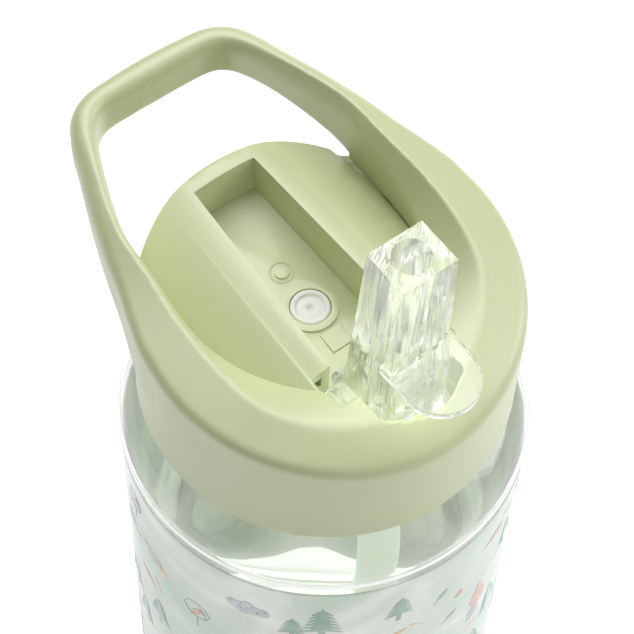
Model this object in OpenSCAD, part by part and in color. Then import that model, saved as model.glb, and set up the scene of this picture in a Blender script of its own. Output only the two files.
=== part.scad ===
// Kids' water bottle with a screw lid, a fixed carry loop and a flip-up straw spout.
// Heights above the bottle's shoulder line are given from that line; the base rests on z = 0.

/* [Bottle] */
// Outer radius of the straight wall
body_r = 35; // [33:0.5:38]
// Height of the shoulder line above the resting face
shoulder_z = 128; // [110:1:150]
// Wall thickness of the clear body
wall = 1.8; // [1.4:0.1:2.4]
// Thickness of the moulded floor
floor_t = 2.6; // [2:0.1:4]
// Radius of the rounded edge at the base
base_round = 3.5; // [2:0.5:6]

/* [Neck and thread] */
// Outer radius of the neck at the root of the thread
neck_r = 26.4; // [26.2:0.1:26.6]
// Height of the neck rim above the shoulder line
rim_z = 19; // [18.8:0.1:19.2]
// Distance the lid rises in one turn
pitch = 4; // [3.6:0.1:4.4]
// Turns of thread moulded on the neck
neck_turns = 1.5; // [1:0.25:1.5]
// Turns of thread moulded inside the lid
lid_turns = 1.25; // [1:0.25:1.25]

/* [Lid] */
// Outer radius of the collar
collar_r = 31.5; // [31.5:0.1:32.5]
// Height of the collar's lower edge above the shoulder line
collar_z = 10; // [9.5:0.5:11]
// Height of the domed lid top above the shoulder line, along its middle
disc_z = 33.6; // [33.4:0.1:33.8]
// Radius of the lid top where it shows between the handle's arms
disc_r = 31.9; // [31.4:0.1:32]
// Radius of the lid top's dome, from side to side
dome_r = 37; // [36:1:44]
// Half width of the opening that the collar leaves round the lid top
opening_rx = 21.3; // [21:0.1:22]
// Half length of that opening
opening_ry = 30; // [29.5:0.1:30.5]
// How far the opening's centre lies behind the bottle's axis
opening_y = 13; // [12.5:0.1:13.5]

/* [Handle] */
// Outer face of the carry loop's back bar, behind the axis
bar_y = 51.8; // [48:0.2:56]
// Thickness of the back bar
bar_t = 5; // [4:0.5:7]
// Half width of the loop at the back bar's corners
bar_half = 17.6; // [15:0.2:20]

/* [Spout] */
// Height of the spout's mouth above the shoulder line
spout_z = 66; // [60:0.5:66]
// Width of the spout at its mouth
spout_w = 10; // [9.6:0.1:10.4]
// Depth of the spout at its mouth
spout_d = 8.3; // [8:0.1:8.6]
// Radius of the drinking bore
spout_bore_r = 3.1; // [2.4:0.1:3.2]
// Width of the thumb tab
tab_w = 12.5; // [10:0.5:14]

/* [Straw] */
// Outer radius of the straw
straw_r = 3.6; // [3.2:0.1:3.6]
// Gap between the straw's lower end and the bottle's floor
straw_gap = 3.4; // [2:0.2:8]

/* [Hidden] */

eps = 0.05;          // hairline between pieces that touch on a curve
above_lid = 45;      // a height clear of the collar's top, for cuts and blanks
clear = [0.93, 0.96, 0.94, 0.35];
sage = [0.80, 0.84, 0.71];
milky = [0.93, 0.93, 0.88, 0.8];

// neck and shoulder
neck_wall = 2.2;
neck_root_z = 9.6;   // where the shoulder meets the neck
ring_h = 1.2;        // moulded ring at the shoulder line
ring_out = 0.15;
thread_z = 12.4;     // middle of the neck thread's lower end
thread_depth = 1.3;
thread_gap = 0.4;    // between a thread's crest and the wall it faces
ridges_per_turn = 8;
ridge_angle = 36;    // each ridge, in degrees

// lid bore and seat
skirt_r = 29.9;
skirt_in_r = neck_r + thread_depth + thread_gap;
skirt_z = 10.6;
land_z = 21;         // face that presses on the gasket
flange_z = 23.4;
plate_t = 1.8;
cavity_r = 23.6;     // hollow under the lid top, inside the gasket's land
shell_under_z = 28.4; // underside of the collar's top
lip_z = 27.4;        // underside of the lid top where it overhangs the collar
crest_r = 23.8;      // circle on which the collar's crest stands
crest_z = 37.75;     // height of the crest level with the axis
crest_tilt = 8.3;    // climb of the crest towards the back, in degrees

// spout channel, hinge and ports
hinge_y = -13.8;
hinge_z = 25.1;
chan_back = 28.5;
chan_front = -26;     // foremost point of the recess's curved front edge
chan_back_w = 6.0;   // half widths
chan_front_w = 7.6;
floor_back_z = 24.6;
floor_slope = 0.056;  // the channel's floor rises towards the back
hub_r = 5.2;
hub_gap = 0.35;
wing_r = 3.3;
wing_x = 10.8;
wing_gap = 0.3;
pin_r = 2;
pin_x = 12.9;
pin_gap = eps;
port_y = -16.6;
port_r = 2.8;        // bore of the socket below the seal, as the straw's
seal_bore_r = 3.1;

// spout's four-sided tower, measured at the hinge's height and at the mouth
foot_back_y = -11.46;
foot_front_y = -21.87;
foot_half = 5.94;
mouth_back_y = -13.8;
spout_lean = 1.8;    // forward lean of the bore, in degrees
tab_z = 43;
tab_t = 1.6;
tab_root_y = -26.8;  // where the tab's sides meet its round end

socket_r = 5;
socket_z = 7;
seal_r = 4.6;
seal_z = 17.6;
vent_y = 4.7;
vent_r = 4.7;
function floor_at(y) = floor_back_z - (chan_back - y) * floor_slope;
vent_z = floor_at(vent_y);
pip_y = 12.6;

// top of the collar, as (distance behind the axis, height above the shoulder line)
ridge = [[-33, 32.9], [8, 38.9], [20, 38.9], [40, 40.2], [47, 41.1], [53, 41.3]];

module at_shoulder() translate([0, 0, shoulder_z]) children();

// extrudes an outline drawn in (Y, Z) by half on each side of X = 0
module along_x(half) rotate([90, 0, 90]) translate([0, 0, -half]) linear_extrude(2 * half) children();

// round bar along X through the hinge
module hinge_bar(r, half)
    translate([-half, hinge_y, hinge_z]) rotate([0, 90, 0]) cylinder(r = r, h = 2 * half, $fn = 64);

// outline of the opening round the lid top, grown by g
module opening_outline(g = 0)
    polygon([for (a = [0:6:354]) [(opening_rx + g) * cos(a), opening_y + (opening_ry + g) * sin(a)]]);

// interrupted thread: short ridges that climb by the pitch, each a sector of a turned ring
module thread_ridges(root, crest, root_h, crest_h, turns, start)
    for (i = [0:turns * ridges_per_turn - 1])
        translate([0, 0, thread_z + pitch * i / ridges_per_turn])
            rotate([0, 0, start + i * 360 / ridges_per_turn])
                rotate_extrude(angle = ridge_angle, $fn = 96)
                    polygon([[root, -root_h / 2], [crest, -crest_h / 2],
                             [crest, crest_h / 2], [root, root_h / 2]]);

// points on a circle from angle a to angle b, for rounded outlines
function arc(cx, cy, r, a, b, n = 8) =
    [for (i = [0:n]) let (t = a + (b - a) * i / n) [cx + r * cos(t), cy + r * sin(t)]];

// ---- bottle ----

shoulder_out = [for (a = [0:6:90])
    [neck_r + (body_r - neck_r) * cos(a), shoulder_z + neck_root_z * sin(a)]];
shoulder_in = [for (a = [90:-6:0])
    [neck_r - neck_wall + (body_r - wall - neck_r + neck_wall) * cos(a),
     shoulder_z - wall + 0.4 + (neck_root_z - wall + 0.2) * sin(a)]];

module bottle_profile() {
    polygon(concat(
        [[0, 0], [body_r - base_round, 0]],
        arc(body_r - base_round, base_round, base_round, -90, 0),
        [[body_r, shoulder_z - ring_h], [body_r + ring_out, shoulder_z - ring_h * 0.7],
         [body_r + ring_out, shoulder_z - ring_h * 0.3]],
        shoulder_out,
        [[neck_r, shoulder_z + rim_z - 0.5], [neck_r - 0.5, shoulder_z + rim_z],
         [neck_r - neck_wall + 0.5, shoulder_z + rim_z], [neck_r - neck_wall, shoulder_z + rim_z - 0.5]],
        shoulder_in,
        arc(body_r - base_round, base_round, base_round - wall, 0, -90),
        [[body_r - base_round - 6, floor_t], [0, floor_t]]));
}

module bottle_body() color(clear) {
    difference() {
        rotate_extrude($fn = 96) bottle_profile();
        // shallow moulding groove in the resting face
        translate([0, 0, -1]) difference() {
            cylinder(r = 26, h = 1.7, $fn = 96);
            cylinder(r = 23, h = 1.7, $fn = 96);
        }
    }
    at_shoulder() thread_ridges(neck_r - 0.2, neck_r + thread_depth, 2.2, 1, neck_turns, 0);
}

module lid_gasket() color(milky) at_shoulder() rotate_extrude($fn = 96)
    polygon([[neck_r - neck_wall - 0.2, rim_z + eps], [skirt_in_r - 0.2, rim_z + eps],
             [skirt_in_r - 0.2, land_z - 0.02], [neck_r - neck_wall - 0.2, land_z - 0.02]]);

// ---- collar and carry loop ----

// half width of the loop's outer edge at each distance behind the axis
loop_side = [[8, 30.2], [16, 27.6], [24, 25.4], [32, 22.7], [40, 19.6]];
corner_r = 8;

module loop_outline() {
    right = concat([[0, 8], [loop_side[0][1], 8]], [for (p = loop_side) [p[1], p[0]]],
        arc(bar_half - corner_r + 0.6, bar_y - corner_r - 0.6, corner_r, 20, 80, 6), [[0, bar_y]]);
    left = [for (i = [len(right) - 1:-1:0]) [-right[i][0], right[i][1]]];
    polygon(concat(right, left));
}

// finger opening: follows the lid opening's sides, then narrows to the back bar
module finger_outline() {
    in_y = bar_y - bar_t;
    right = concat([[0, 10], [20.4, 14], [20.6, 22], [19.6, 29], [17.6, 35], [15.6, 40]],
        arc(10.4, in_y - 4, 4, 15, 85, 5), [[0, in_y]]);
    left = [for (i = [len(right) - 1:-1:0]) [-right[i][0], right[i][1]]];
    polygon(concat(right, left));
}

// plan of the channel and its curved front edge, grown by g
module channel_plan(g = 0) {
    w = chan_front_w;
    front = [for (x = [-w:w / 6:w]) [x * (1 + g / w), chan_front - g + 0.055 * x * x]];
    polygon(concat([[chan_back_w + g, chan_back + g], [-chan_back_w - g, chan_back + g], [-w - g, -7]],
        front, [[w + g, -7]]));
}

// channel and hinge recess, open upwards
module notch_cut() {
    translate([0, 0, hinge_z]) linear_extrude(30) channel_plan();
    translate([-wing_x - 0.4, hinge_y - wing_r - wing_gap, hinge_z])
        cube([2 * wing_x + 0.8, 2 * (wing_r + wing_gap), 30]);
}

module lid_shell() color(sage) at_shoulder() difference() {
    union() {
        rotate_extrude($fn = 96)
            polygon([[0, collar_z], [collar_r - 0.6, collar_z], [collar_r, collar_z + 0.6],
                     [collar_r, above_lid], [0, above_lid]]);
        difference() {
            translate([0, 0, 20]) linear_extrude(30) loop_outline();
            // the loop's underside rises towards the back bar
            along_x(60) polygon([[10, 10], [10, 24.6], [38, 32.3], [60, 34], [60, 10]]);
        }
    }
    // everything above the top face's profile
    along_x(60) polygon(concat(ridge, [[60, 41.3], [60, 80], [-60, 80], [-60, 29.6]]));
    // inside the crest the top face falls steeply to the lid top
    rotate_extrude($fn = 96)
        polygon([[0, 31.5], [18.6, 31.5], [crest_r, 38.4], [crest_r, 80], [0, 80]]);
    // outside the crest it slopes gently to the collar's edge
    intersection() {
        translate([0, 0, crest_z]) rotate([crest_tilt, 0, 0]) rotate_extrude($fn = 96)
            polygon([[crest_r, 0], [crest_r + 16, -5], [crest_r + 16, 30], [crest_r, 30]]);
        translate([-50, -50, 20]) cube([100, 70, 50]);
    }
    // bore that holds the inner lid
    translate([0, 0, collar_z - 1]) cylinder(r = skirt_r + eps, h = shell_under_z - collar_z + 1, $fn = 96);
    // seat for the lid top where it overhangs the collar wall
    intersection() {
        translate([0, 0, lip_z - eps]) cylinder(r = disc_r + 0.2, h = 20, $fn = 96);
        translate([0, 0, lip_z - eps]) linear_extrude(20) opening_outline(eps);
    }
    translate([0, 0, 20]) linear_extrude(lip_z - 20 + 1) intersection() {
        circle(r = skirt_r + eps, $fn = 96);
        opening_outline(eps);
    }
    translate([0, 0, lip_z - eps]) linear_extrude(40) finger_outline();
    notch_cut();
}

// ---- inner lid ----

// everything above the channel's floor, lowered by g, up to the height top
module above_floor(g, top) {
    front_z = hinge_z - 0.1 - g;
    along_x(20) polygon([[-30, front_z], [hinge_y - 5, front_z], [hinge_y + 2, 22 - g], [-7, 22.4 - g],
                         [-1, floor_at(-1) - g], [chan_back + 6, floor_at(chan_back + 6) - g],
                         [chan_back + 6, top], [-30, top]]);
}

// round bar from front to back whose upper side is the lid top's dome, lowered by g
module dome(g = 0) translate([0, 60, disc_z - dome_r]) rotate([90, 0, 0])
    cylinder(r = dome_r - g, h = 120, $fn = 96);

module lid_body() {
    difference() {
        union() {
            translate([0, 0, land_z]) cylinder(r = skirt_r, h = flange_z - land_z, $fn = 96);
            translate([0, 0, skirt_z]) cylinder(r = skirt_r, h = land_z - skirt_z, $fn = 96);
            translate([0, 0, land_z]) linear_extrude(disc_z - land_z) intersection() {
                circle(r = skirt_r, $fn = 96);
                opening_outline();
            }
            intersection() {
                translate([0, 0, lip_z]) linear_extrude(disc_z - lip_z) opening_outline();
                rotate_extrude($fn = 96) polygon(concat([[0, lip_z], [disc_r, lip_z]],
                    arc(disc_r - 1.2, disc_z - 1.2, 1.2, 0, 90, 4), [[0, disc_z]]));
            }
        }
        translate([0, 0, skirt_z - 1]) cylinder(r = skirt_in_r, h = land_z - skirt_z + 1, $fn = 96);
        intersection() {
            linear_extrude(disc_z) intersection() {
                circle(r = cavity_r, $fn = 96);
                opening_outline(-plate_t);
            }
            dome(plate_t);
        }
    }
}

module inner_lid() color(sage) at_shoulder() {
    difference() {
        union() {
            lid_body();
            // channel walls and floor
            intersection() {
                linear_extrude(disc_z) channel_plan(1.6);
                above_floor(plate_t, disc_z);
                union() {
                    cylinder(r = skirt_r, h = shell_under_z - eps, $fn = 96);
                    linear_extrude(disc_z) intersection() {
                        circle(r = skirt_r, $fn = 96);
                        opening_outline();
                    }
                }
            }
            // hinge well
            intersection() {
                union() {
                    hinge_bar(hub_r + hub_gap + 1.6, chan_front_w + 1.6);
                    hinge_bar(wing_r + wing_gap + 1.6, pin_x + 0.6);
                }
                cylinder(r = cavity_r + 0.2, h = hinge_z + 3, $fn = 96);
            }
            // ears that hold the spout's pins
            for (s = [-1, 1]) translate([s * (wing_x + 0.4 + pin_x + 0.6) / 2, hinge_y, land_z + 3.5])
                cube([pin_x + 0.2 - wing_x, 2 * (wing_r + wing_gap) + 2, 7], center = true);
            // straw socket
            translate([0, port_y, socket_z]) cylinder(r = socket_r, h = 13.5, $fn = 48);
            // vent boss
            translate([0, vent_y, vent_z - 3]) cylinder(r = vent_r, h = 3.2, $fn = 48);
        }
        intersection() {
            linear_extrude(60) channel_plan();
            above_floor(0, 60);
            difference() {
                cylinder(r = 40, h = 60, $fn = 48);
                translate([0, vent_y, vent_z - 3]) cylinder(r = vent_r, h = 3.2, $fn = 48);
            }
        }
        notch_cut();
        hinge_bar(hub_r + hub_gap, chan_front_w);
        hinge_bar(wing_r + wing_gap, wing_x + 0.4);
        hinge_bar(pin_r + pin_gap, pin_x + 0.1);
        // seal pocket and straw bore
        translate([0, port_y, seal_z]) cylinder(r = seal_r + eps, h = 8, $fn = 48);
        translate([0, port_y, socket_z - 1]) cylinder(r = straw_r + 0.02, h = seal_z - socket_z, $fn = 48);
        translate([0, port_y, socket_z]) cylinder(r = port_r, h = 14, $fn = 48);
        // the top face is domed from side to side
        difference() {
            translate([-30, -40, flange_z + 0.6]) cube([60, 80, 20]);
            dome();
        }
        // vent valve seat and hole
        translate([0, vent_y, vent_z - 0.9]) cylinder(r = 3.5, h = 8, $fn = 48);
        translate([0, vent_y, vent_z - 8]) cylinder(r = 1.5, h = 12, $fn = 32);
    }
    // moulded pip on the channel floor
    translate([0, pip_y, floor_at(pip_y) - 1]) cylinder(r = 1.3, h = 1.3, $fn = 32);
    // half a turn behind the neck's thread, so that each ridge lies under one of the neck's
    thread_ridges(skirt_in_r + 0.2, neck_r + thread_gap, 1.8, 0.9, lid_turns, 180);
}

// ---- spout ----

module spout_tower() {
    mouth_half = spout_w / 2;
    intersection() {
        along_x(8) polygon([[foot_back_y, hinge_z], [mouth_back_y, spout_z],
                            [mouth_back_y - spout_d, spout_z], [foot_front_y, hinge_z]]);
        rotate([90, 0, 0]) translate([0, 0, 5]) linear_extrude(20)
            polygon([[-foot_half, hinge_z], [-mouth_half, spout_z],
                     [mouth_half, spout_z], [foot_half, hinge_z]]);
    }
}

module spout_axis() translate([0, port_y, hinge_z]) rotate([spout_lean, 0, 0]) children();

module spout() color(clear) at_shoulder() difference() {
    union() {
        spout_tower();
        hinge_bar(hub_r, foot_half - 0.14);
        hinge_bar(wing_r, wing_x);
        hinge_bar(pin_r, pin_x - 0.2);
        // thumb tab
        translate([0, tab_root_y, tab_z]) linear_extrude(tab_t) {
            translate([-tab_w / 2, 0]) square([tab_w, 6.8]);
            circle(r = tab_w / 2, $fn = 64);
        }
    }
    spout_axis() translate([0, 0, -8]) cylinder(r = spout_bore_r, h = 60, $fn = 48);
}

module spout_seal() color(milky) at_shoulder() difference() {
    translate([0, port_y, seal_z + eps]) cylinder(r = seal_r, h = 6, $fn = 48);
    translate([0, port_y, seal_z - 1]) cylinder(r = seal_bore_r, h = 10, $fn = 48);
    hinge_bar(hub_r + 0.08, 12);
}

module vent_valve() color(milky) at_shoulder() translate([0, vent_y, vent_z]) difference() {
    rotate_extrude($fn = 48)
        polygon([[0, 0.25], [1.4, 0.25], [2.9, -0.1], [3.4, -0.4], [3.4, -0.85],
                 [1.45, -0.85], [1.45, -3.05], [2.6, -3.3], [1.6, -5.2], [0, -5.2]]);
    translate([0, 0, -0.5]) cylinder(r = 0.7, h = 2, $fn = 32);
}

straw_top_z = 16.5;
straw_wall = 0.8;

module straw() color(milky) difference() {
    low_z = floor_t + straw_gap;
    translate([0, port_y, low_z])
        cylinder(r = straw_r, h = shoulder_z + straw_top_z - low_z, $fn = 48);
    translate([0, port_y, 0]) cylinder(r = straw_r - straw_wall, h = shoulder_z + 20, $fn = 48);
}

bottle_body();
lid_gasket();
lid_shell();
inner_lid();
spout();
spout_seal();
vent_valve();
straw();
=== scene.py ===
import math

import bmesh
import bpy
import numpy as np
from mathutils import Matrix, Vector


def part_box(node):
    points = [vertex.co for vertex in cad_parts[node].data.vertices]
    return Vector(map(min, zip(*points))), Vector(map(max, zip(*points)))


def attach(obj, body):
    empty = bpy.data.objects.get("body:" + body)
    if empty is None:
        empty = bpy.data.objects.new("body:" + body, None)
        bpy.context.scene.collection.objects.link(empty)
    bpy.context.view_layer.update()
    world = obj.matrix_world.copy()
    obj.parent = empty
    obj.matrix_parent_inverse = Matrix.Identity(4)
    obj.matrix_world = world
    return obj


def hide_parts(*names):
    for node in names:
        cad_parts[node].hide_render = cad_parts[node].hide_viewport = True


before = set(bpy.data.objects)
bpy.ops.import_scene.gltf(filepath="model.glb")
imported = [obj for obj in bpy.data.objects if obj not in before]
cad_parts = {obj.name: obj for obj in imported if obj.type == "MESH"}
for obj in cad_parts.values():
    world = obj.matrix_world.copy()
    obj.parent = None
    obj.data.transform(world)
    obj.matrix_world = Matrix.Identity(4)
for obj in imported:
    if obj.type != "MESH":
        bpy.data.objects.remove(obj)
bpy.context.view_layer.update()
print("frame loaded")

mm = 0.001
# heights are in millimetres above the bottle's shoulder line
collarEdge = 10.0
ringProud = 0.15         # the shoulder ring stands this far out from the wall
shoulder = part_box("lid_shell")[0].z / mm - collarEdge
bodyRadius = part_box("bottle_body")[1].x / mm - ringProud
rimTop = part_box("bottle_body")[1].z / mm - shoulder


cameraView = {
    "aim": (-4.12, -2.21, 33.2),
    "azimuth": 38.99,
    "pitch": 58.35,
    "roll": 2.4,
    "distance": 338.2,
    "lens": 122.8,
    "sensor": 36,
    "nearest": 0.01,
}


def makeCamera():
    az, pitch, roll = (math.radians(cameraView[k]) for k in ("azimuth", "pitch", "roll"))
    forward = Vector((math.sin(az) * math.cos(pitch), math.cos(az) * math.cos(pitch), -math.sin(pitch)))
    right = forward.cross(Vector((0, 0, 1))).normalized()
    up = right.cross(forward)
    right, up = (right * math.cos(roll) + up * math.sin(roll),
                 up * math.cos(roll) - right * math.sin(roll))
    aim = Vector(cameraView["aim"]) + Vector((0, 0, shoulder))
    data = bpy.data.cameras.new("camera")
    data.lens = cameraView["lens"]
    data.sensor_width = cameraView["sensor"]
    data.clip_start = cameraView["nearest"]
    cam = bpy.data.objects.new("camera", data)
    bpy.context.scene.collection.objects.link(cam)
    turn = Matrix((right, up, -forward)).transposed().to_4x4()
    cam.matrix_world = Matrix.Translation((aim - forward * cameraView["distance"]) * mm) @ turn
    bpy.context.scene.camera = cam


lights = {
    # name: (place, aim, size in metres, watts, colour)
    "keySoftbox": ((0.86, -0.46, 0.66), (0.0, 0.0, 0.15), 0.55, 4.2, (1.0, 1.0, 1.10)),
    "topSoftbox": ((0.14, 0.42, 1.05), (0.0, 0.0, 0.15), 0.90, 8.6, (1.0, 1.0, 1.08)),
    "stripLight": ((-0.10, -0.85, 0.42), (0.0, 0.0, 0.12), 0.18, 0.06, (0.97, 1.0, 1.0)),
}


def makeLights():
    for name, (place, aim, size, power, color) in lights.items():
        data = bpy.data.lights.new(name, "AREA")
        data.shape = "SQUARE"
        data.size = size
        data.energy = power
        data.color = color
        lamp = bpy.data.objects.new(name, data)
        bpy.context.scene.collection.objects.link(lamp)
        turn = (Vector(aim) - Vector(place)).to_track_quat("-Z", "Y").to_matrix().to_4x4()
        lamp.matrix_world = Matrix.Translation(place) @ turn


roomLook = {
    "seen": (1.0, 1.0, 1.0),     # plain backdrop, straight on or through clear plastic
    "side": (0.70, -0.35, 0.50),
    "dimAt": -0.7,
    "brightAt": 0.8,
    "dim": 0.04,
    "bright": 0.48,
}


def makeRoom():
    # the light that the room gives rises from dim to bright towards one side
    world = bpy.data.worlds.new("room")
    bpy.context.scene.world = world
    world.use_nodes = True
    nodes, links = world.node_tree.nodes, world.node_tree.links
    nodes.clear()
    out = nodes.new("ShaderNodeOutputWorld")
    seen = nodes.new("ShaderNodeBackground")
    lit = nodes.new("ShaderNodeBackground")
    seen.inputs["Color"].default_value = (*roomLook["seen"], 1)
    place = nodes.new("ShaderNodeTexCoord")
    towards = nodes.new("ShaderNodeVectorMath")
    towards.operation = "DOT_PRODUCT"
    towards.inputs[1].default_value = Vector(roomLook["side"]).normalized()
    links.new(place.outputs["Generated"], towards.inputs[0])
    level = nodes.new("ShaderNodeMapRange")
    level.inputs["From Min"].default_value = roomLook["dimAt"]
    level.inputs["From Max"].default_value = roomLook["brightAt"]
    level.inputs["To Min"].default_value = roomLook["dim"]
    level.inputs["To Max"].default_value = roomLook["bright"]
    links.new(towards.outputs["Value"], level.inputs["Value"])
    links.new(level.outputs["Result"], lit.inputs["Strength"])
    path = nodes.new("ShaderNodeLightPath")
    mix = nodes.new("ShaderNodeMixShader")
    either = nodes.new("ShaderNodeMath")
    either.operation = "MAXIMUM"
    links.new(path.outputs["Is Camera Ray"], either.inputs[0])
    links.new(path.outputs["Is Transmission Ray"], either.inputs[1])
    links.new(either.outputs["Value"], mix.inputs["Fac"])
    links.new(lit.outputs["Background"], mix.inputs[1])
    links.new(seen.outputs["Background"], mix.inputs[2])
    links.new(mix.outputs["Shader"], out.inputs["Surface"])


def newMaterial(name, **sockets):
    mat = bpy.data.materials.new(name)
    mat.use_nodes = True
    shader = mat.node_tree.nodes["Principled BSDF"]
    for socket, value in sockets.items():
        key = socket.replace("_", " ")
        if isinstance(value, tuple) and len(shader.inputs[key].default_value) == 4:
            value = (*value, 1)
        shader.inputs[key].default_value = value
    return mat, mat.node_tree.nodes, mat.node_tree.links, shader


def addGroup(nodes, group, **values):
    node = nodes.new("ShaderNodeGroup")
    node.node_tree = group
    for socket, value in values.items():
        node.inputs[socket].default_value = value
    return node


def makeGroup(name, inputs, outputs):
    group = bpy.data.node_groups.new(name, "ShaderNodeTree")
    for label, kind, value in inputs:
        socket = group.interface.new_socket(label, in_out="INPUT", socket_type=kind)
        socket.default_value = value
    for label, kind in outputs:
        group.interface.new_socket(label, in_out="OUTPUT", socket_type=kind)
    return group, group.nodes.new("NodeGroupInput"), group.nodes.new("NodeGroupOutput")


def mouldedFinish():
    # soft flow mottle and a fine spark-eroded grain, as a moulded lid has
    group, inside, out = makeGroup(
        "mouldedFinish",
        [("Color", "NodeSocketColor", (0.6, 0.66, 0.42, 1)), ("Mottle", "NodeSocketFloat", 0.03),
         ("Grain Scale", "NodeSocketFloat", 2600.0), ("Roughness", "NodeSocketFloat", 0.42)],
        [("Color", "NodeSocketColor"), ("Roughness", "NodeSocketFloat"), ("Height", "NodeSocketFloat")])
    nodes, links = group.nodes, group.links
    place = nodes.new("ShaderNodeTexCoord")
    cloud = nodes.new("ShaderNodeTexNoise")
    cloud.inputs["Scale"].default_value = 55
    cloud.inputs["Detail"].default_value = 3
    grain = nodes.new("ShaderNodeTexNoise")
    grain.inputs["Detail"].default_value = 2
    links.new(place.outputs["Object"], cloud.inputs["Vector"])
    links.new(place.outputs["Object"], grain.inputs["Vector"])
    links.new(inside.outputs["Grain Scale"], grain.inputs["Scale"])
    shade = nodes.new("ShaderNodeMapRange")
    links.new(cloud.outputs["Fac"], shade.inputs["Value"])
    shade.inputs["From Min"].default_value = 0.3
    shade.inputs["From Max"].default_value = 0.7
    low = nodes.new("ShaderNodeMath")
    low.operation = "SUBTRACT"
    low.inputs[0].default_value = 1
    links.new(inside.outputs["Mottle"], low.inputs[1])
    links.new(low.outputs["Value"], shade.inputs["To Min"])
    tint = nodes.new("ShaderNodeMix")
    tint.data_type = "RGBA"
    tint.blend_type = "MULTIPLY"
    tint.inputs["Factor"].default_value = 1
    links.new(inside.outputs["Color"], tint.inputs[6])
    links.new(shade.outputs["Result"], tint.inputs[7])
    links.new(tint.outputs[2], out.inputs["Color"])
    rough = nodes.new("ShaderNodeMath")
    rough.operation = "MULTIPLY_ADD"
    links.new(grain.outputs["Fac"], rough.inputs[0])
    rough.inputs[1].default_value = 0.12
    links.new(inside.outputs["Roughness"], rough.inputs[2])
    links.new(rough.outputs["Value"], out.inputs["Roughness"])
    links.new(grain.outputs["Fac"], out.inputs["Height"])
    return group


mouldedGroup = mouldedFinish()
grainBump = {"strength": 0.25, "depth": 0.00006}


def addBump(nodes, links, shader, height, strength, distance):
    bump = nodes.new("ShaderNodeBump")
    bump.inputs["Strength"].default_value = strength
    bump.inputs["Distance"].default_value = distance
    links.new(height, bump.inputs["Height"])
    links.new(bump.outputs["Normal"], shader.inputs["Normal"])


def mouldedMaterial(name, color, roughness=0.42, mottle=0.03, **sockets):
    mat, nodes, links, shader = newMaterial(name, **sockets)
    finish = addGroup(nodes, mouldedGroup, Color=(*color, 1), Mottle=mottle, Roughness=roughness)
    links.new(finish.outputs["Color"], shader.inputs["Base Color"])
    links.new(finish.outputs["Roughness"], shader.inputs["Roughness"])
    addBump(nodes, links, shader, finish.outputs["Height"], grainBump["strength"], grainBump["depth"])
    return mat


sage = (0.56, 0.61, 0.325)
lidPlastic = mouldedMaterial(
    "lidPlastic", sage, roughness=0.38, Specular_IOR_Level=0.9, Coat_Weight=0.35, Coat_Roughness=0.4,
    Subsurface_Weight=0.12, Subsurface_Scale=0.002, Subsurface_Radius=(1.0, 1.0, 0.6))
silicone = mouldedMaterial(
    "whiteSilicone", (0.80, 0.80, 0.72), roughness=0.5, mottle=0.02,
    Subsurface_Weight=0.4, Subsurface_Scale=0.002, Subsurface_Radius=(1.0, 0.95, 0.8))
# the straw's glow stands for the light that the clear wall passes on to it
strawPlastic = mouldedMaterial(
    "strawPlastic", (0.86, 0.88, 0.84), roughness=0.3, mottle=0.02,
    Subsurface_Weight=0.3, Subsurface_Scale=0.001, Subsurface_Radius=(1.0, 1.0, 0.9),
    Emission_Color=(0.9, 1.0, 0.88), Emission_Strength=0.45)


def clearMaterial(name, color, passed, ripple, rippleScale, stretch, **sockets):
    # clear moulded plastic, with drawn-out flow ripples; it lets lamps shine through
    mat, nodes, links, shader = newMaterial(name, Base_Color=color, Roughness=0.02, **sockets)
    place = nodes.new("ShaderNodeTexCoord")
    flow = nodes.new("ShaderNodeMapping")
    flow.inputs["Scale"].default_value = stretch
    noise = nodes.new("ShaderNodeTexNoise")
    noise.inputs["Scale"].default_value = rippleScale
    noise.inputs["Detail"].default_value = 1.5
    links.new(place.outputs["Object"], flow.inputs["Vector"])
    links.new(flow.outputs["Vector"], noise.inputs["Vector"])
    # level faces stay smooth: the ripples fade with the height of the surface's normal
    facing = nodes.new("ShaderNodeSeparateXYZ")
    level = nodes.new("ShaderNodeMath")
    level.operation = "ABSOLUTE"
    steep = nodes.new("ShaderNodeMath")
    steep.operation = "SUBTRACT"
    steep.inputs[0].default_value = 1
    height = nodes.new("ShaderNodeMath")
    height.operation = "MULTIPLY"
    links.new(place.outputs["Normal"], facing.inputs["Vector"])
    links.new(facing.outputs["Z"], level.inputs[0])
    links.new(level.outputs["Value"], steep.inputs[1])
    links.new(noise.outputs["Fac"], height.inputs[0])
    links.new(steep.outputs["Value"], height.inputs[1])
    addBump(nodes, links, shader, height.outputs["Value"], 1.0, ripple)
    path = nodes.new("ShaderNodeLightPath")
    through = nodes.new("ShaderNodeBsdfTransparent")
    through.inputs["Color"].default_value = (*passed, 1)
    mix = nodes.new("ShaderNodeMixShader")
    links.new(path.outputs["Is Shadow Ray"], mix.inputs["Fac"])
    links.new(shader.outputs["BSDF"], mix.inputs[1])
    links.new(through.outputs["BSDF"], mix.inputs[2])
    links.new(mix.outputs["Shader"], nodes["Material Output"].inputs["Surface"])
    return mat


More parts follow.
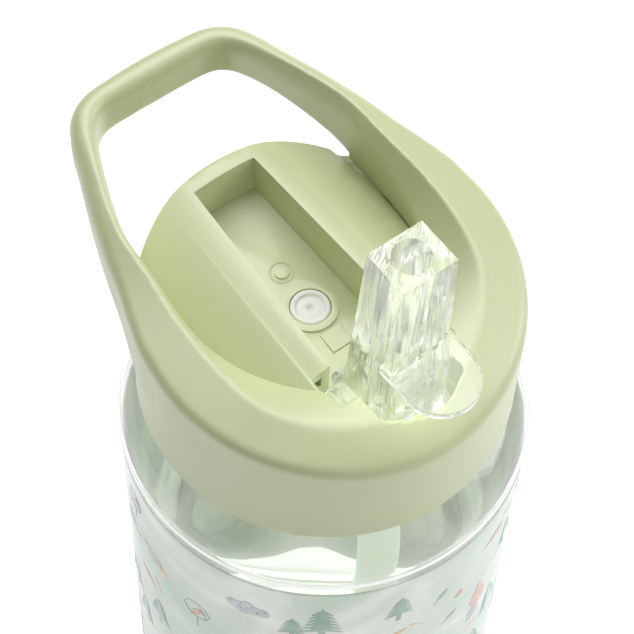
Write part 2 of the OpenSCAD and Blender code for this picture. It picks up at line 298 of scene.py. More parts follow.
# the body's faint even glow is painted light: it lifts the glass where the shade inside the bottle would
# darken it
clearBody = clearMaterial(
    "clearBody", (0.895, 0.925, 0.865), passed=(0.95, 0.97, 0.95),
    ripple=0.00012, rippleScale=120, stretch=(1, 1, 0.35), IOR=1.4, Transmission_Weight=0.97,
    Emission_Color=(0.95, 1.0, 0.9), Emission_Strength=0.007)
# the spout's faint white glow is painted light that lifts its darker, shaded streaks
clearSpout = clearMaterial(
    "clearSpout", (0.99, 1.0, 0.985), passed=(0.93, 0.95, 0.92),
    ripple=0.0006, rippleScale=620, stretch=(1, 1, 0.04), IOR=1.22, Transmission_Weight=0.93,
    Emission_Color=(1.0, 1.0, 1.0), Emission_Strength=0.008)
# painted highlight on the shoulder ring: a near-white, part see-through band that glows where the ring's
# rounded edge catches the light
paintedRingHighlight = mouldedMaterial(
    "paintedRingHighlight", (0.86, 0.88, 0.84), roughness=0.2, mottle=0.02, Alpha=0.75,
    Emission_Color=(1.0, 1.0, 0.97), Emission_Strength=0.3)
print("materials made")


def newPiece(name, verts, faces, material, body, smooth=True):
    mesh = bpy.data.meshes.new(name)
    mesh.from_pydata([tuple(v) for v in verts], [], [tuple(f) for f in faces])
    mesh.validate()
    mesh.update()
    piece = bpy.data.objects.new(name, mesh)
    bpy.context.scene.collection.objects.link(piece)
    mesh.materials.append(material)
    if smooth:
        mesh.shade_smooth()
    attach(piece, body)
    return piece


def smoothClosed(points, count):
    # evenly spaced places on a Catmull-Rom line through the points
    p = np.array(points, float)
    t = np.linspace(0, len(p), count, endpoint=False)
    i = t.astype(int)
    f = (t - i)[:, None]
    a, b, c, d = (p[(i + k) % len(p)] for k in (-1, 0, 1, 2))
    square, cube = (2 * a - 5 * b + 4 * c - d) * f ** 2, (3 * b - a - 3 * c + d) * f ** 3
    return 0.5 * (2 * b + (c - a) * f + square + cube)


def ellipsePoints(halfWidth, halfLength, centre, angles):
    return [(halfWidth * math.cos(math.radians(a)), centre + halfLength * math.sin(math.radians(a)))
            for a in angles]


def mirrored(half):
    # half outline from the front, round the right side to the back; returns the whole closed outline
    return half + [(-x, y) for x, y in reversed(half) if x > 0.01]


def outlineDistance(x, y, outline):
    # signed distance to a closed outline, negative inside
    best = np.full(np.broadcast(x, y).shape, 1e9)
    inside = np.zeros(best.shape, bool)
    for (ax, ay), (bx, by) in zip(outline, np.roll(outline, -1, axis=0)):
        dx, dy = bx - ax, by - ay
        t = np.clip(((x - ax) * dx + (y - ay) * dy) / (dx * dx + dy * dy), 0, 1)
        best = np.minimum(best, (x - ax - t * dx) ** 2 + (y - ay - t * dy) ** 2)
        if ay != by:
            inside ^= ((ay > y) != (by > y)) & (x < ax + (y - ay) * dx / dy)
    return np.where(inside, -1, 1) * np.sqrt(best)


def softMax(a, b, k):
    h = np.maximum(k - np.abs(a - b), 0)
    return np.maximum(a, b) + h * h / (4 * k)


def softMin(a, b, k):
    return -softMax(-a, -b, k)


tableRounding = {"beyond": 10, "count": 600, "reach": 30}


def smoothTable(places, values):
    # a rounded-off version of a line of straight stretches
    beyond, reach = tableRounding["beyond"], tableRounding["reach"]
    x = np.linspace(places[0] - beyond, places[-1] + beyond, tableRounding["count"])
    y = np.interp(x, places, values)
    kernel = np.hanning(2 * reach + 1)
    kernel /= kernel.sum()
    y = np.convolve(np.pad(y, reach, mode="edge"), kernel, mode="valid")
    return lambda v: np.interp(v, x, y)


skinning = {"passes": 3, "probe": 0.01, "leastSlope": 0.05}


def skinField(field, low, high, step):
    # closed quad mesh on the zero level of field(x, y, z), by surface nets, then pulled onto the level
    axes = [np.arange(lo, hi + step, step) for lo, hi in zip(low, high)]
    grid = field(axes[0][:, None, None], axes[1][None, :, None], axes[2][None, None, :])
    inside = grid < 0
    shape = np.array(grid.shape)
    strides = np.array([shape[1] * shape[2], shape[2], 1])
    cellIds, crossings, quads = [], [], []
    for axis in range(3):
        first = [slice(None)] * 3
        second = [slice(None)] * 3
        first[axis] = slice(0, -1)
        second[axis] = slice(1, None)
        a, b = grid[tuple(first)], grid[tuple(second)]
        hit = np.argwhere(inside[tuple(first)] != inside[tuple(second)])
        va, vb = a[tuple(hit.T)], b[tuple(hit.T)]
        point = hit.astype(float)
        point[:, axis] += va / (va - vb)
        u, v = (axis + 1) % 3, (axis + 2) % 3
        corners = []
        for du, dv in ((1, 1), (0, 1), (0, 0), (1, 0)):
            cell = hit.copy()
            cell[:, u] -= du
            cell[:, v] -= dv
            ids = cell @ strides
            corners.append(ids)
            cellIds.append(ids)
            crossings.append(point)
        quad = np.stack(corners, 1)
        outward = va < 0
        quads.append(np.where(outward[:, None], quad, quad[:, ::-1]))
    ids, inverse = np.unique(np.concatenate(cellIds), return_inverse=True)
    crossings = np.concatenate(crossings)
    count = np.bincount(inverse)
    verts = np.stack([np.bincount(inverse, crossings[:, k]) / count for k in range(3)], 1)
    verts = verts * step + np.array([a[0] for a in axes])
    faces = np.searchsorted(ids, np.concatenate(quads))
    probe = skinning["probe"]
    for _ in range(skinning["passes"]):
        value = field(*verts.T)
        slope = np.stack([(field(*(verts + e).T) - value) / probe for e in np.eye(3) * probe], 1)
        size = np.maximum((slope ** 2).sum(1), skinning["leastSlope"])
        verts -= np.clip(value / size, -step, step)[:, None] * slope
    return verts, faces


def lathe(profile, segments=192, radius=None):
    # closed turned solid from a closed profile of (radius, height), which may touch the axis at both ends
    verts, faces, rings = [], [], []
    for r, z in profile:
        if r < 1e-6:
            rings.append([len(verts)])
            verts.append((0, 0, z))
            continue
        rings.append(list(range(len(verts), len(verts) + segments)))
        for s in range(segments):
            a = 2 * math.pi * s / segments
            rr = radius(r, z, a) if radius else r
            verts.append((rr * math.cos(a), rr * math.sin(a), z))
    for one, two in zip(rings, rings[1:] + rings[:1]):
        if len(one) == 1 and len(two) == 1:
            continue
        for s in range(segments):
            t = (s + 1) % segments
            if len(one) == 1:
                faces.append((one[0], two[t], two[s]))
            elif len(two) == 1:
                faces.append((one[s], one[t], two[0]))
            else:
                faces.append((one[s], one[t], two[t], two[s]))
    return np.array(verts), faces


def arcPoints(cx, cy, r, start, end, count):
    return [(cx + r * math.cos(math.radians(start + (end - start) * i / count)),
             cy + r * math.sin(math.radians(start + (end - start) * i / count))) for i in range(count + 1)]


def placed(verts, x=0.0, y=0.0, z=0.0):
    # millimetres above the shoulder line to metres in the frame
    return (np.asarray(verts) + np.array([x, y, z + shoulder])) * mm


copyAngles = {"flat": 0.6, "edge": 35, "sharp": 32}      # degrees


def refinedCopy(node, name, material, body, width, segments=2):
    # a copy of a CAD node with its flat faces joined up and its sharp edges rounded
    bm = bmesh.new()
    bm.from_mesh(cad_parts[node].data)
    bmesh.ops.remove_doubles(bm, verts=bm.verts, dist=2e-6)
    bmesh.ops.dissolve_limit(bm, angle_limit=math.radians(copyAngles["flat"]), verts=bm.verts, edges=bm.edges)
    mesh = bpy.data.meshes.new(name)
    bm.to_mesh(mesh)
    bm.free()
    piece = bpy.data.objects.new(name, mesh)
    bpy.context.scene.collection.objects.link(piece)
    mesh.materials.clear()
    mesh.materials.append(material)
    bevel = piece.modifiers.new("edges", "BEVEL")
    bevel.width = width * mm
    bevel.segments = segments
    bevel.limit_method = "ANGLE"
    bevel.angle_limit = math.radians(copyAngles["edge"])
    bevel.miter_outer = "MITER_ARC"
    bevel.use_clamp_overlap = True
    applyModifiers(piece)
    piece.data.shade_smooth()
    piece.data.set_sharp_from_angle(angle=math.radians(copyAngles["sharp"]))
    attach(piece, body)
    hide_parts(node)
    return piece


def applyModifiers(piece):
    bpy.context.view_layer.update()
    graph = bpy.context.evaluated_depsgraph_get()
    mesh = bpy.data.meshes.new_from_object(piece.evaluated_get(graph))
    piece.modifiers.clear()
    piece.data = mesh


collar = {
    "radius": 31.5,
    "boreRadius": 29.95,
    "underside": 28.4,
    "lip": 2.2,
    "seat": 27.35,           # the lid top's overhanging rim starts here
    "edgeRound": 1.5,
    "crestRound": 0.7,
    "footRound": 1.2,
    "upright": 0.96,         # turns a height over a sloping face into a distance from it
    "armBlend": 2.5,         # how softly the loop's arms run into the ring
    "armRound": 1.3,         # the arms' edges are rounder, from here on
    "armFrom": 18,
    "armRun": 22,
    "holeRound": 0.5,
    "holeRoundBehind": 0.8,
    "holeFrom": 22,
    "holeRun": 10,
    "lipReach": 2.2,
    "lipFrom": -6,
    "lipRun": 4,
    "step": 0.36,
}
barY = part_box("lid_shell")[1].y / mm
# along the collar and loop: outer edge, crest and inner edge, and how far across the crest stands
outerHeight = smoothTable([-31.5, -28, -24.5, -20, -12, 0, 20, 40, 47, 52],
                          [29.7, 31.0, 32.0, 32.8, 34.0, 35.4, 38.0, 40.2, 40.9, 41.2])
crestHeight = smoothTable([-26, -17, -10, -2, 7.5, 16.6, 24, 44, 52],
                          [33.9, 35.1, 36.4, 37.6, 38.7, 39.8, 40.3, 41.2, 41.4])
innerHeight = smoothTable([-17, -10, -3, 4, 7, 9, 12.4, 16, 20, 24, 32, 42, 47],
                          [32.8, 32.0, 31.6, 31.6, 32.4, 33.3, 35.0, 36.4, 37.3, 37.9, 38.6, 39.8, 40.4])
crestPlace = smoothTable([-31, -21, -12, -8.8, -2.9, 3.6, 11, 16.6, 24, 44],
                         [0.49, 0.51, 0.50, 0.455, 0.365, 0.29, 0.23, 0.2, 0.24, 0.3])
loopUnderside = smoothTable([-40, 8, 16, 38, 52], [22, 23.5, 26.2, 32.3, 33.3])
openingCentre = 13.0
loopOutline = smoothClosed(mirrored(
    [(0, -20), (16, -12), (26, 0), (29.6, 6), (28.9, 12), (27.6, 18), (26.1, 24), (23.5, 32),
     (20.4, 40), (18.6, 44.6), (16.0, 48.6), (12.0, 50.9), (6, 51.6), (0, barY)]), 220)
# opening for the lid top, running on into the finger gap
fingerOutline = smoothClosed(mirrored(
    ellipsePoints(21.45, 30.05, openingCentre, range(-90, 2, 9))
    + [(21.45, 18), (21.4, 22), (21.1, 25), (20.2, 28.6), (18.3, 34), (16.6, 38.4),
       (14.7, 42.6), (12.9, 45.2), (10.2, 46.6), (5, 46.9), (0, 46.9)]), 240)

# the lid top fills this outline; behind, up to its rim, a ledge of the collar fills the rest of the opening
lidOutline = ellipsePoints(21.3, 30, openingCentre, range(0, 360, 6))
ledge = {"gap": 0.08, "rim": 31.9, "domeRadius": 37.0, "domeTop": 33.6, "sink": 0.15, "bottom": 24.6}


def ledgeField(x, y, z, fromAxis):
    dome = np.sqrt(np.maximum(ledge["domeRadius"] ** 2 - x * x, 1))
    top = ledge["domeTop"] - ledge["domeRadius"] + dome
    beside = np.maximum(ledge["gap"] - outlineDistance(x, y, lidOutline), fromAxis - ledge["rim"])
    between = np.maximum(z - top + ledge["sink"], ledge["bottom"] - z)
    return np.maximum(np.maximum(beside, openingCentre - y), between)


def grown(y, start, run):
    # 0 before the start, 1 once past the run
    return np.clip((y - collar[start]) / collar[run], 0, 1)


def shellField(x, y, z):
    fromAxis = np.sqrt(x * x + y * y)
    outer = fromAxis - collar["radius"]
    loop = outlineDistance(x, y, loopOutline)
    finger = outlineDistance(x, y, fingerOutline)
    plan = softMin(outer, loop, collar["armBlend"])
    width = np.maximum(finger - plan, 0.5)
    across = np.clip(finger / width, 0, 1)
    crest, place, inner = crestHeight(y), crestPlace(y), innerHeight(y)
    rise = (crest - inner) / (place * width)
    inFace = (z - inner - (crest - inner) * across / place) / np.sqrt(1 + rise * rise)
    outFace = (z - crest - (outerHeight(y) - crest) * (across - place) / (1 - place)) * collar["upright"]
    above = softMax(inFace, outFace, collar["crestRound"])
    edge = collar["edgeRound"] + collar["armRound"] * grown(y, "armFrom", "armRun")
    # outside the collar the loop has an underside of its own
    below = np.minimum(outer, (loopUnderside(y) - z) * collar["upright"])
    solid = softMax(softMax(plan, above, edge), below, edge * np.clip(outer / 3, 0.03, 1))
    solid = softMax(solid, collarEdge - z, collar["footRound"])
    kept = ledgeField(x, y, z, fromAxis)
    opening = np.maximum(np.maximum(finger, collar["seat"] - z), -kept)
    holeEdge = collar["holeRound"] + collar["holeRoundBehind"] * grown(y, "holeFrom", "holeRun")
    solid = softMax(solid, -opening, holeEdge)
    # a lip round the opening reaches down to the lid top's low sides
    lip = collar["lip"] * np.clip(1 - finger / collar["lipReach"], 0, 1) * grown(y, "lipFrom", "lipRun")
    bore = np.maximum(fromAxis - collar["boreRadius"], z - collar["underside"] + lip)
    solid = np.maximum(solid, -np.maximum(bore, -kept))
    core = np.maximum(finger, fromAxis - collar["boreRadius"])
    solid = np.maximum(solid, -np.maximum(core, -kept))
    return np.maximum(solid, -recessField(x, y, z))


recess = {"front": -26.05, "curve": 0.055, "halfWidth": 7.65, "floor": 26.4,
          "notchHalf": 11.2, "notchY": -13.8, "notchDepth": 3.6}


def recessField(x, y, z):
    # open channel and hinge recess where they pass through the collar
    channel = np.maximum(np.abs(x) - recess["halfWidth"], recess["front"] + recess["curve"] * x * x - y)
    notch = np.maximum(np.abs(x) - recess["notchHalf"], np.abs(y - recess["notchY"]) - recess["notchDepth"])
    return np.maximum(np.minimum(np.maximum(channel, y), notch), recess["floor"] - z)


shellRoom = {"low": (-33, -33, 8.5), "high": (33, barY + 1.5, 43), "coarser": 1.6}


def makeShell():
    step = collar["step"] * 1
    verts, faces = skinField(shellField, shellRoom["low"], shellRoom["high"], step)
    verts[:, 1] = np.minimum(verts[:, 1], barY)
    piece = newPiece("lidShell", placed(verts), faces, lidPlastic, "lid")
    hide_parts("lid_shell")
    return piece


bottle = {
    "wall": 1.8,
    "floor": 2.6,
    "baseRound": 3.5,
    "cornerRound": 1.7,      # inside, where the wall meets the floor
    "cornerLift": 1.9,
    "shoulderIn": -1.4,
    "domeIn": 8.0,
    "neck": 26.4,
    "neckWall": 2.2,
    "neckFoot": 9.6,
    "rimRound": 0.5,
    "thread": 1.3,
    "threadHalf": 1.1,
    "threadFlank": 0.6,
    "threadFade": 0.08,      # of a turn, at both ends
    "pitch": 4.0,
    "threadStart": 12.4,
    "turns": 1.5,
    "wallHeights": (8, 20, 50, 80, 110),
    # moulding groove in the resting face: radius, height above the table
    "groove": ((0, 0), (22.6, 0), (23, 0.2), (23.3, 0.7), (25.7, 0.7), (26, 0.2), (26.4, 0)),
    # ring at the shoulder line, where the mould parts: out from the wall, height
    "ring": ((0.01, -1.5), (0.08, -1.4), (0.14, -1.0), (0.14, -0.5), (0.08, -0.1), (0.01, 0.0)),
}


def threadedRadius(r, z, a):
    # real sloping thread ridge on the neck, in place of the CAD's level ridges
    if abs(r - bottle["neck"]) > 0.01:
        return r
    best = 0.0
    for lap in range(3):
        turn = a / (2 * math.pi) + lap
        if turn > bottle["turns"]:
            continue
        centre = bottle["threadStart"] + bottle["pitch"] * turn
        fade = min(1, turn / bottle["threadFade"], (bottle["turns"] - turn) / bottle["threadFade"])
        ridge = (bottle["threadHalf"] - abs(z - centre)) / bottle["threadFlank"]
        best = max(best, min(1, max(0, ridge)) * fade)
    return r + bottle["thread"] * best


def makeBottle():
    base, neck, edge = -shoulder, bottle["neck"], bottle["rimRound"]
    inner = neck - bottle["neckWall"]
    wallIn = bodyRadius - bottle["wall"]
    foot, corner = bottle["baseRound"], bottle["cornerRound"]
    profile = [(r, base + z) for r, z in bottle["groove"]]
    profile += arcPoints(bodyRadius - foot, base + foot, foot, -90, 0, 10)
    profile += [(bodyRadius, base + z) for z in bottle["wallHeights"]]
    profile += [(bodyRadius, -1.6), (bodyRadius, -0.1)]
    profile += [(neck + (bodyRadius - neck) * math.cos(math.radians(a)),
                 bottle["neckFoot"] * math.sin(math.radians(a))) for a in range(3, 88, 4)]
    profile += [(neck, z) for z in np.arange(bottle["neckFoot"], rimTop - edge, 0.25)]
    profile += arcPoints(neck - edge, rimTop - edge, edge, 20, 90, 3)
    profile += arcPoints(inner + edge, rimTop - edge, edge, 90, 180, 3)
    profile += [(inner + (wallIn - inner) * math.cos(math.radians(a)),
                 bottle["shoulderIn"] + bottle["domeIn"] * math.sin(math.radians(a)))
                for a in range(90, -1, -4)]
    profile += [(wallIn, base + z) for z in reversed(bottle["wallHeights"])]
    profile += arcPoints(wallIn - corner, base + bottle["floor"] + bottle["cornerLift"], corner, 0, -90, 6)
    profile += [(20, base + bottle["floor"]), (0, base + bottle["floor"])]
    verts, faces = lathe(profile, 256, threadedRadius)
    piece = newPiece("bottleBody", placed(verts), faces, clearBody, "bottle")
    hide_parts("bottle_body")
    # the ring is drawn in the glowing white material that paints its highlight
    verts, faces = lathe([(bodyRadius + out, z) for out, z in bottle["ring"]], 256)
    newPiece("shoulderRing", placed(verts), faces, paintedRingHighlight, "bottle")


def watercolour():
    # soft wash: pale ground, darker pools and near-white blooms, with a paper-like grain
    group, inside, out = makeGroup(
        "watercolour",
        [("Ground", "NodeSocketColor", (0.56, 0.66, 0.55, 1)),
         ("Pool", "NodeSocketColor", (0.36, 0.52, 0.42, 1)),
         ("Bloom", "NodeSocketColor", (0.80, 0.84, 0.78, 1)),
         ("Scale", "NodeSocketFloat", 34.0)],
        [("Color", "NodeSocketColor"), ("Height", "NodeSocketFloat")])
    nodes, links = group.nodes, group.links
    place = nodes.new("ShaderNodeTexCoord")
    drift = nodes.new("ShaderNodeTexNoise")
    drift.inputs["Detail"].default_value = 4
    drift.inputs["Distortion"].default_value = 0.6
    links.new(place.outputs["Object"], drift.inputs["Vector"])
    links.new(inside.outputs["Scale"], drift.inputs["Scale"])
    pools = nodes.new("ShaderNodeMapRange")
    pools.inputs["From Min"].default_value = 0.50
    pools.inputs["From Max"].default_value = 0.70
    links.new(drift.outputs["Fac"], pools.inputs["Value"])
    blooms = nodes.new("ShaderNodeMapRange")
    blooms.inputs["From Min"].default_value = 0.50
    blooms.inputs["From Max"].default_value = 0.34
    links.new(drift.outputs["Fac"], blooms.inputs["Value"])
    grain = nodes.new("ShaderNodeTexNoise")
    grain.inputs["Scale"].default_value = 900
    links.new(place.outputs["Object"], grain.inputs["Vector"])
    previous = inside.outputs["Ground"]
    for mask, colour in ((pools, "Pool"), (blooms, "Bloom")):
        mix = nodes.new("ShaderNodeMix")
        mix.data_type = "RGBA"
        links.new(mask.outputs["Result"], mix.inputs["Factor"])
        links.new(previous, mix.inputs[6])
        links.new(inside.outputs[colour], mix.inputs[7])
        previous = mix.outputs[2]
    links.new(previous, out.inputs["Color"])
    links.new(grain.outputs["Fac"], out.inputs["Height"])
    return group


watercolourGroup = watercolour()


def printMaterial(name, ground, pool, bloom, scale, alpha, glow=0.0):
    mat, nodes, links, shader = newMaterial(
        name, Roughness=0.42, Coat_Weight=0.6, Coat_Roughness=0.06, Alpha=alpha, Emission_Strength=glow)
    wash = addGroup(nodes, watercolourGroup, Ground=(*ground, 1), Pool=(*pool, 1), Bloom=(*bloom, 1),
                    Scale=scale)
    links.new(wash.outputs["Color"], shader.inputs["Base Color"])
    if glow:
        # light that soaks through the thin ink from inside
        links.new(wash.outputs["Color"], shader.inputs["Emission Color"])
    addBump(nodes, links, shader, wash.outputs["Height"], 0.2, 0.00001)
    return mat


inks = {
    # name: (ground, pool, bloom)
    "fir": ((0.24, 0.42, 0.31), (0.16, 0.33, 0.24), (0.33, 0.50, 0.39)),
    "cloud": ((0.52, 0.58, 0.60), (0.42, 0.49, 0.53), (0.66, 0.71, 0.70)),
    "dark": ((0.12, 0.16, 0.15), (0.08, 0.11, 0.10), (0.2, 0.24, 0.22)),
    "rust": ((0.62, 0.24, 0.14), (0.45, 0.15, 0.09), (0.74, 0.42, 0.25)),
    "sand": ((0.80, 0.50, 0.22), (0.68, 0.36, 0.14), (0.86, 0.66, 0.38)),
    "stone": ((0.34, 0.31, 0.34), (0.24, 0.21, 0.25), (0.50, 0.47, 0.49)),
}
film = {
    "inner": 35.01,
    "outer": 35.05,
    "top": -3.4,
    "bottom": -121.0,
    "rings": 24,
    "ground": (0.62, 0.685, 0.585),
    "pool": (0.45, 0.595, 0.46),
    "bloom": (0.83, 0.84, 0.79),
    "scale": 42.0,
    "alpha": 0.76,
    "glow": 0.16,
}
decal = {"inner": 35.06, "outer": 35.09, "least": 0.04, "inkScale": 140.0}


def wrapPoint(r, angle, u, v):
    # place on the bottle's wall: u to the right of the angle and v up, in millimetres
    a = math.radians(angle) + u / r
    return r * math.cos(a), r * math.sin(a), v


class Decals:
    # thin closed shapes in one ink, each a row of columns (u, low, high)
    def __init__(self):
        self.verts, self.faces = [], []

    def shape(self, angle, height, columns, tilt=0.0):
        start = len(self.verts)
        c, s = math.cos(math.radians(tilt)), math.sin(math.radians(tilt))
        for u, low, high in columns:
            high = max(high, low + decal["least"])
            for r in (decal["inner"], decal["outer"]):
                for v in (low, high):
                    self.verts.append(wrapPoint(r, angle, u * c - v * s, height + u * s + v * c))
        count = len(columns)
        for i in range(count - 1):
            a, b = start + 4 * i, start + 4 * i + 4
            self.faces += [(a + 2, b + 2, b + 3, a + 3), (a, a + 1, b + 1, b),
                           (a, b, b + 2, a + 2), (a + 1, a + 3, b + 3, b + 1)]
        last = start + 4 * (count - 1)
        self.faces += [(start, start + 2, start + 3, start + 1),
                       (last, last + 1, last + 3, last + 2)]

    def blob(self, angle, height, wide, tall, tilt=0.0, wobble=0.0, count=9, phase=0.0):
        # rounded patch with a slightly wavy outline
        columns = []
        for i in range(count):
            t = -1 + 2 * i / (count - 1)
            half = tall / 2 * math.sqrt(max(1 - t * t, 0))
            wave = wobble * tall * math.sin(3.1 * t + phase)
            low = -half * (1 + 0.2 * math.sin(4 * t + phase)) + wave * 0.4
            columns.append((t * wide / 2, low, half + wave))
        self.shape(angle, height, columns, tilt)

    def line(self, angle, height, points, width):
        # pen stroke through the points
        for (u0, v0), (u1, v1) in zip(points, points[1:]):
            length = math.hypot(u1 - u0, v1 - v0)
            columns = [(t * length, -width / 2, width / 2) for t in (0, 0.5, 1)]
            tilt = math.degrees(math.atan2(v1 - v0, u1 - u0))
            self.shape(angle + math.degrees(u0 / bodyRadius), height + v0, columns, tilt)


def drawFir(ink, angle, height, tall, wide, tilt=0.0):
    # solid crown with drooping branch tips, on a short trunk
    thin = 0.05 * tall
    crown = [(t * wide * 0.3, tall * (0.24 + 0.10 * abs(t)), tall * (1 - 0.74 * abs(t) ** 0.9))
             for t in (-1, -0.75, -0.5, -0.25, 0, 0.25, 0.5, 0.75, 1)]
    ink.shape(angle, height, crown, tilt)
    ink.shape(angle, height, [(u, 0, tall * 0.3) for u in (-thin, 0, thin)], tilt)
    for level in range(6):
        reach = wide * (0.22 + 0.055 * (6 - level))
        v = tall * (0.27 + 0.105 * level)
        for side in (-1, 1):
            root, tip = (0.04 * wide * side, v + thin), (reach * side, v - thin)
            columns = []
            for t in (0, 0.5, 1):
                u, w = (a + (b - a) * t for a, b in zip(root, tip))
                half = thin * (1 - 0.8 * t)
                columns.append((u, w - half, w + half))
            ink.shape(angle, height, columns[::side], tilt)


def drawCloud(sets, angle, height, wide, random):
    columns = []
    for i in range(15):
        t = -1 + i / 7
        edge = wide * math.sqrt(max(1 - t * t, 0))
        lean = 0.04 * wide * t
        columns.append((t * wide / 2, edge * (-0.26 + 0.05 * math.sin(5 * t)) - lean,
                        edge * (0.26 + 0.08 * math.cos(7 * t)) - lean))
    sets["cloud"].shape(angle, height, columns)
    for _ in range(9):
        u = random.uniform(-0.38, 0.38) * wide
        v = random.uniform(-0.16, 0.16) * wide
        sets["dots"].blob(angle + math.degrees(u / bodyRadius), height + v - 0.08 * u, 0.32, 0.6, count=5)


def drawLeaf(ink, angle, height, long, tilt):
    # two-sided blade with a short stalk
    columns = []
    for t in (0, 0.1, 0.25, 0.4, 0.55, 0.7, 0.85, 1):
        swell = math.sin(math.pi * t)
        columns.append((long * (t - 0.5), -0.2 * long * swell ** 0.8, 0.2 * long * swell))
    ink.shape(angle, height, columns, tilt)
    alongU, alongV = long * math.cos(math.radians(tilt)), long * math.sin(math.radians(tilt))
    ink.line(angle + math.degrees(-0.5 * alongU / bodyRadius), height - 0.5 * alongV,
             [(0, 0), (-0.3 * alongU, -0.3 * alongV)], 0.25)


def drawSprig(sets, angle, height, tall):
    # outlined bud on a stem, filled with two small leaves
    ring = ellipsePoints(0.32 * tall, 0.32 * tall, 0.5 * tall, range(0, 361, 45))
    sets["pen"].line(angle, height, ring, 0.14)
    sets["pen"].line(angle, height, [(0, -0.25 * tall), (0, 0.18 * tall)], 0.16)
    drawLeaf(sets["rust"], angle, height + 0.42 * tall, 0.42 * tall, 62)
    drawLeaf(sets["stone"], angle + 2, height + 0.55 * tall, 0.3 * tall, 118)


def drawMotifs(sets, random):
    # a few motifs have set places near the shoulder
    drawFir(sets["fir"], -127, -21.5, 13, 6.6)
    drawFir(sets["fir"], -135.3, -22, 8.6, 4.4)
    drawFir(sets["fir"], -105.3, -18.8, 9.3, 4.8, -3)
    drawCloud(sets, -148.0, -14.2, 8.2, random)
    drawSprig(sets, -165, -31, 9)
    sets["stone"].blob(176, -22.5, 7, 3.0, -28, 0.2)
    sets["sand"].blob(180.5, -24.5, 3.4, 2.2, -20, 0.2)
    drawLeaf(sets["sand"], -104.5, -24.5, 3.4, 20)
    drawLeaf(sets["sand"], -99.5, -24.0, 2.6, 150)
    drawLeaf(sets["fir"], -91, -17.5, 3.6, 55)
    drawLeaf(sets["fir"], -86, -30, 3.2, 35)
    sets["rust"].blob(-84, -23, 2.2, 1.6, 10, 0.3)
    sets["stone"].blob(-75, -40, 5.5, 3.4, 60, 0.2)
    sets["rust"].blob(-73.5, -34, 4.5, 8.5, 10, 0.2)


# the rest is scattered in staggered rows, clear of the set places
scatter = {
    "rows": (-12, -118, -11.5),
    "perRow": 15,
    "spread": 5,
    "lift": 2,
    "clear": 17,
    "kinds": ["fir", "fir", "fir", "small", "cloud", "sprig", "leaf", "leaf", "stones"],
    "taken": [(-163, -10), (-127, -14), (-135, -17), (-105, -15), (-151, -14), (-165, -28), (178, -23),
              (-102, -24), (-90, -22), (-74, -37)],
}


def isFree(angle, z):
    near = min(math.hypot((angle - a + 180) % 360 - 180, (z - h) * 1.6) for a, h in scatter["taken"])
    return near >= scatter["clear"]


def drawScattered(sets, random, kind, angle, z):
    draw = random.uniform
    if kind == "fir":
        drawFir(sets["fir"], angle, z - 5, draw(9, 13), draw(4.6, 6.4), draw(-4, 4))
    elif kind == "small":
        drawFir(sets["fir"], angle - 4, z - 3, 6.5, 3.4)
        drawFir(sets["fir"], angle + 5, z - 4, 9, 4.6)
    elif kind == "cloud":
        drawCloud(sets, angle, z, draw(8, 11), random)
    elif kind == "sprig":
        drawSprig(sets, angle, z - 4, draw(7, 9))
    elif kind == "leaf":
        drawLeaf(sets["rust"], angle, z, draw(3.5, 5), draw(0, 180))
        drawLeaf(sets["sand"], angle + 6, z + 2, draw(2.5, 4), draw(0, 180))
    else:
        sets["stone"].blob(angle, z, draw(4, 6), 2.8, draw(-20, 20), 0.2)
        sets["sand"].blob(angle + 6, z - 1, 2.4, 1.6, 0, 0.3)


def makePrint():
    profile = [(film["inner"], film["bottom"]), (film["outer"], film["bottom"])]
    profile += [(film["outer"], z) for z in np.linspace(film["bottom"] + 1, film["top"] - 1, film["rings"])]
    profile += [(film["outer"], film["top"]), (film["inner"], film["top"])]
    verts, faces = lathe(profile, 192)
    wash = printMaterial("printWash", film["ground"], film["pool"], film["bloom"], film["scale"],
                         film["alpha"], film["glow"])
    newPiece("printFilm", placed(verts), faces, wash, "bottle")
    sets = {name: Decals() for name in ("fir", "cloud", "dots", "pen", "rust", "sand", "stone")}
    random = np.random.default_rng(7)
    drawMotifs(sets, random)
    for row, height in enumerate(np.arange(*scatter["rows"])):
        for k in range(scatter["perRow"]):
            angle = (k + 0.5 * (row % 2)) * 360 / scatter["perRow"]
            angle += random.uniform(-scatter["spread"], scatter["spread"])
            z = height + random.uniform(-scatter["lift"], scatter["lift"])
            if isFree(angle, z):
                drawScattered(sets, random, random.choice(scatter["kinds"]), angle, z)
    paints = {name: printMaterial(name + "Ink", *ink, decal["inkScale"], 1.0) for name, ink in inks.items()}
    inkOf = {"dots": "dark", "pen": "dark"}
    for name, made in sets.items():
        newPiece("print_" + name, placed(made.verts), made.faces, paints[inkOf.get(name, name)],
                 "bottle", smooth=False)


# straw's section: in from its outer radius, and up from its foot or its top
strawEnds = {"foot": ((0.8, 0.2), (0.6, 0), (0.2, 0), (0, 0.2)),
             "top": ((0, -0.4), (0.3, 0), (0.6, 0), (0.8, -0.4))}


def makeStraw():
    low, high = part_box("straw")
    radius = (high.x - low.x) / 2 / mm
    profile = [(radius - r, low.z / mm + z) for r, z in strawEnds["foot"]]
    profile += [(radius - r, high.z / mm + z) for r, z in strawEnds["top"]]
    verts, faces = lathe(profile, 64)
    verts = placed(verts, 0, (low.y + high.y) / 2 / mm, -shoulder)
    piece = newPiece("strawTube", verts, faces, strawPlastic, "lid")
    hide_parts("straw")


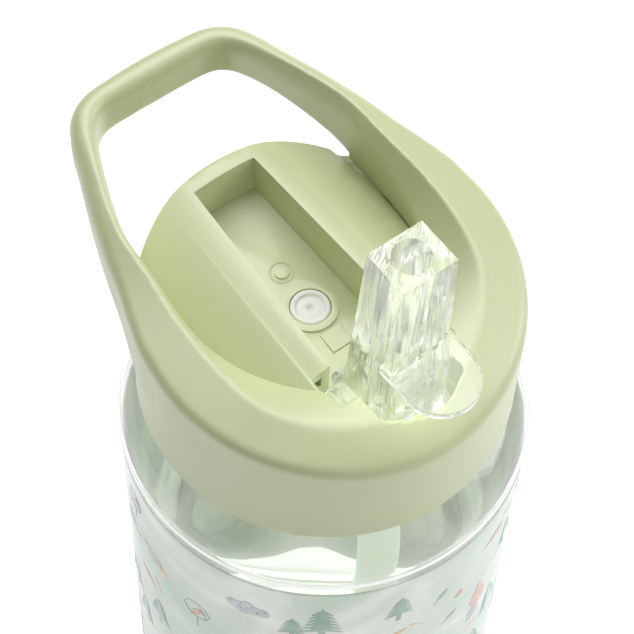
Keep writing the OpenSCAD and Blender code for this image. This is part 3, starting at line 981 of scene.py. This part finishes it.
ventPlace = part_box("vent_valve")
vent = {
    "y": (ventPlace[0].y + ventPlace[1].y) / 2 / mm,
    "top": ventPlace[1].z / mm - shoulder - 0.25,
    # dimpled middle, then a raised rim; the stem and its bulb hold it in the lid
    "profile": [(0, -0.75), (0.45, -0.7), (0.6, -0.2), (0.85, -0.06), (1.6, -0.1), (2.25, -0.32),
                (2.4, -0.3), (2.5, 0.12), (2.65, 0.24), (3.1, 0.24), (3.3, 0.1), (3.38, -0.2),
                (3.38, -0.85), (1.45, -0.87), (1.45, -3.05), (2.6, -3.3), (2.4, -4.0), (1.6, -5.2),
                (0, -5.2)],
}


def makeVent():
    verts, faces = lathe([(r, vent["top"] + z) for r, z in reversed(vent["profile"])], 72)
    piece = newPiece("ventValve", placed(verts, 0, vent["y"], 0), faces, silicone, "lid")
    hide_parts("vent_valve")


floorMarks = {
    "rise": 0.056,           # slope of the channel's floor
    "ringBehind": 7.9,       # from the middle of the valve
    "ring": [(1.75, -0.3), (2.1, -0.3), (2.1, 0.04), (2.0, 0.12), (1.85, 0.12), (1.75, 0.04)],
    "tongueBefore": 7.0,
    "tongue": (4.4, 4.2, 0.5),
    "tongueTaper": 0.86,
    "tongueSink": 0.3,
}


def makeFloorMarks():
    # moulded ring round the pip and a low tongue beside the valve, both on the channel's sloping floor
    rise, behind, before = (floorMarks[k] for k in ("rise", "ringBehind", "tongueBefore"))
    slope = Matrix.Rotation(math.atan(rise), 4, "X")
    at = Matrix.Translation((0, vent["y"] + behind, vent["top"] + behind * rise)) @ slope
    verts, faces = lathe(floorMarks["ring"], 48)
    newPiece("moulderMark", placed([at @ Vector(v) for v in verts]), faces, lidPlastic, "lid")
    bm = bmesh.new()
    bmesh.ops.create_grid(bm, x_segments=2, y_segments=3, size=0.5)
    made = bmesh.ops.extrude_face_region(bm, geom=bm.faces[:])
    top = [v for v in made["geom"] if isinstance(v, bmesh.types.BMVert)]
    bmesh.ops.translate(bm, verts=top, vec=(0, 0, 1))
    bmesh.ops.scale(bm, verts=top, vec=(floorMarks["tongueTaper"], floorMarks["tongueTaper"], 1))
    bmesh.ops.recalc_face_normals(bm, faces=bm.faces)
    at = Matrix.Translation((0, vent["y"] - before,
                             vent["top"] - before * rise - floorMarks["tongueSink"])) @ slope
    size = Matrix.Diagonal((*floorMarks["tongue"], 1))
    verts = [at @ size @ v.co for v in bm.verts]
    faces = [[v.index for v in f.verts] for f in bm.faces]
    bm.free()
    newPiece("valveTongue", placed(verts), faces, lidPlastic, "lid", smooth=False)


floorLook = {"half": 3.0, "color": (0.86, 0.86, 0.86), "roughness": 0.9, "glow": 0.45}


def makeFloor():
    half = floorLook["half"]
    mesh = bpy.data.meshes.new("floor")
    corners = [(-half, -half, 0), (half, -half, 0), (half, half, 0), (-half, half, 0)]
    mesh.from_pydata(corners, [], [(0, 1, 2, 3)])
    floor = bpy.data.objects.new("floor", mesh)
    bpy.context.scene.collection.objects.link(floor)
    paper, _, _, _ = newMaterial(
        "paper", Base_Color=floorLook["color"], Roughness=floorLook["roughness"],
        Emission_Color=(1.0, 1.0, 1.0), Emission_Strength=floorLook["glow"])
    mesh.materials.append(paper)


edgeWidths = {"innerLid": 0.22, "clearSpout": 0.28}

makeCamera()
makeLights()
makeRoom()
shell = makeShell()
print("collar and loop made", len(shell.data.polygons))
makeBottle()
makePrint()
print("bottle and print made")
makeStraw()
makeVent()
makeFloorMarks()
refinedCopy("inner_lid", "innerLid", lidPlastic, "lid", edgeWidths["innerLid"])
refinedCopy("spout", "clearSpout", clearSpout, "spout", edgeWidths["clearSpout"], 3)
for node in ("lid_gasket", "spout_seal"):
    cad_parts[node].data.materials.clear()
    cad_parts[node].data.materials.append(silicone)
print("pieces made")

makeFloor()
bpy.context.scene.view_settings.view_transform = "Standard"
print("floor made")
